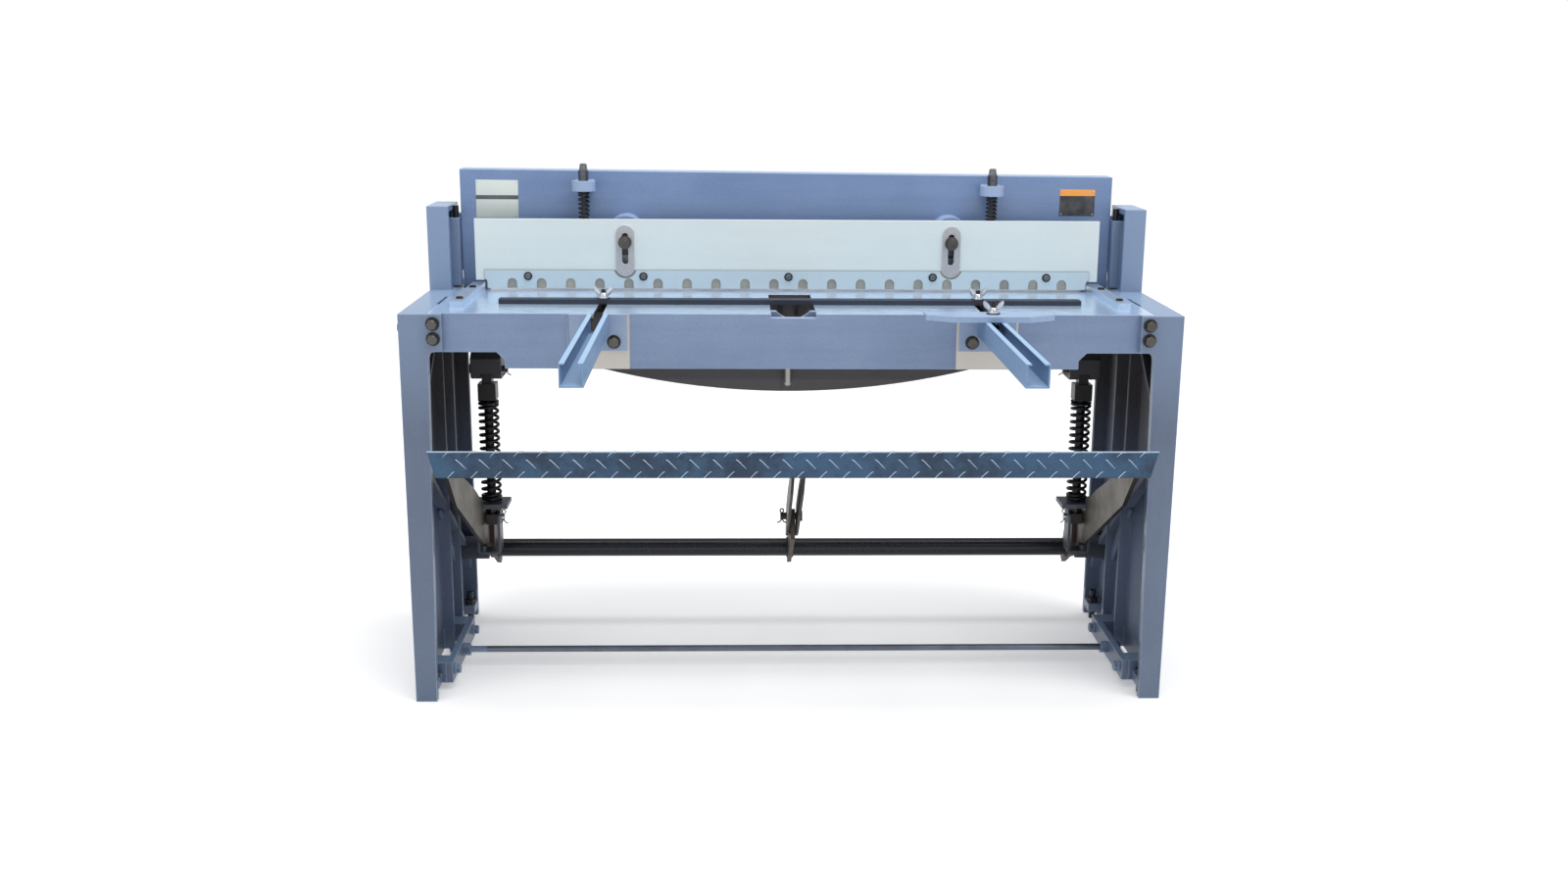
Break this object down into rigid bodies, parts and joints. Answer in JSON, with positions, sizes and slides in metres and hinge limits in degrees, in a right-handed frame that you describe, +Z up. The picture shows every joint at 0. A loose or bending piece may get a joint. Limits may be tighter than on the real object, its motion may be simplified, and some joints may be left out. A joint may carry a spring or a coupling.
{
  "type": "foot treadle shear",
  "caption": "Treadle-operated sheet metal squaring shear on cast side frames, with hold-down, return springs and sliding gauges on arms in front.",
  "frame": {"origin": "on the floor, at the middle of the space that the whole machine takes up, gauge arms included", "axes": "+X to the right of a person who stands at the table, along the blades; +Y from that person to the back of the machine; +Z up"},
  "size_m": [1.56, 1.07, 1.0864],
  "materials": {
    "cast_paint": "blue-grey machine enamel on a rough casting, semi-gloss",
    "bed_paint": "blue-grey machine enamel, with a ground steel table top",
    "ram_paint": "lavender-blue machine enamel, semi-gloss",
    "arm_paint": "light blue-grey enamel, semi-gloss",
    "pale_paint": "pale mint white enamel, semi-gloss",
    "tread_paint": "dark blue-steel enamel on checker plate",
    "tube_paint": "gloss black enamel",
    "ground_steel": "ground steel",
    "gauge_steel": "dark grey drawn steel",
    "bare_steel": "hot-rolled steel, lightly oiled",
    "tie_steel": "drawn steel bar",
    "black_oxide": "black oxide, oiled",
    "bright_zinc": "bright zinc plate"
  },
  "bodies": {
    "frame": {"left_side_frame": "cast_paint", "right_side_frame": "cast_paint", "bed": "bed_paint", "lower_blade": "ground_steel", "bed_stud": "bare_steel", "left_squaring_arm": "ground_steel", "right_squaring_arm": "ground_steel", "left_gauge_arm": "arm_paint", "right_gauge_arm": "arm_paint", "gauge_brackets": "arm_paint", "left_foot_bar": "cast_paint", "right_foot_bar": "cast_paint", "tie_rod": "tie_steel", "levelling_bolts": "black_oxide", "gibs": "cast_paint", "gib_screws": "black_oxide", "left_spring_seat": "bare_steel", "right_spring_seat": "bare_steel", "left_return_spring": "black_oxide", "right_return_spring": "black_oxide"},
    "ram_body": {"ram": "ram_paint", "upper_blade": "ground_steel", "lug_pins": "black_oxide", "left_pull_rod": "black_oxide", "right_pull_rod": "black_oxide", "left_stirrup": "black_oxide", "right_stirrup": "black_oxide", "stirrup_pins": "bright_zinc", "guide_bolts": "black_oxide", "left_clamp_spring": "black_oxide", "right_clamp_spring": "black_oxide"},
    "clamp_body": {"hold_down": "pale_paint", "finger_guard": "pale_paint", "clamp_rods": "black_oxide"},
    "treadle": {"torque_tube": "tube_paint", "lug_plates": "bare_steel", "left_treadle_arm": "bare_steel", "right_treadle_arm": "bare_steel", "centre_treadle_arm": "bare_steel", "centre_pin": "black_oxide", "tread": "tread_paint"},
    "front_gauge_body": {"front_gauge": "gauge_steel", "front_gauge_clamps": "bright_zinc"},
    "bevel_carriage": {"bevel_clamp": "bright_zinc"},
    "bevel_plate": {"bevel_gauge": "ram_paint"}
  },
  "joints": [
    {"name": "ram_slide", "type": "slide", "parent": "frame", "child": "ram_body", "axis": [0, 0, -1], "range_m": [0, 0.025], "stiffness_N_per_m": 40000, "springref_m": -0.06, "deforming": ["left_return_spring", "right_return_spring"]},
    {"name": "treadle_hinge", "type": "hinge", "parent": "frame", "child": "treadle", "pos_m": [0, 0.485, 0.18], "axis": [1, 0, 0], "range_deg": [0, 11.91]},
    {"name": "holddown_slide", "type": "slide", "parent": "ram_body", "child": "clamp_body", "axis": [0, 0, 1], "range_m": [0, 0.02], "deforming": ["left_clamp_spring", "right_clamp_spring"]},
    {"name": "front_gauge_slide", "type": "slide", "parent": "frame", "child": "front_gauge_body", "axis": [0, 1, 0], "range_m": [-0.08, 0.01]},
    {"name": "bevel_slide", "type": "slide", "parent": "frame", "child": "bevel_carriage", "axis": [0, 1, 0], "range_m": [-0.42, 0]},
    {"name": "bevel_swivel", "type": "hinge", "parent": "bevel_carriage", "child": "bevel_plate", "pos_m": [0.388, -0.061, 0.8152], "axis": [0, 0, 1], "range_deg": [-30, 30]}
  ],
  "couplings": [
    {"joint": "treadle_hinge", "follows": "ram_slide", "rad_per_m": 8.31},
    {"joint": "holddown_slide", "follows": "ram_slide", "ratio": 0.8}
  ]
}
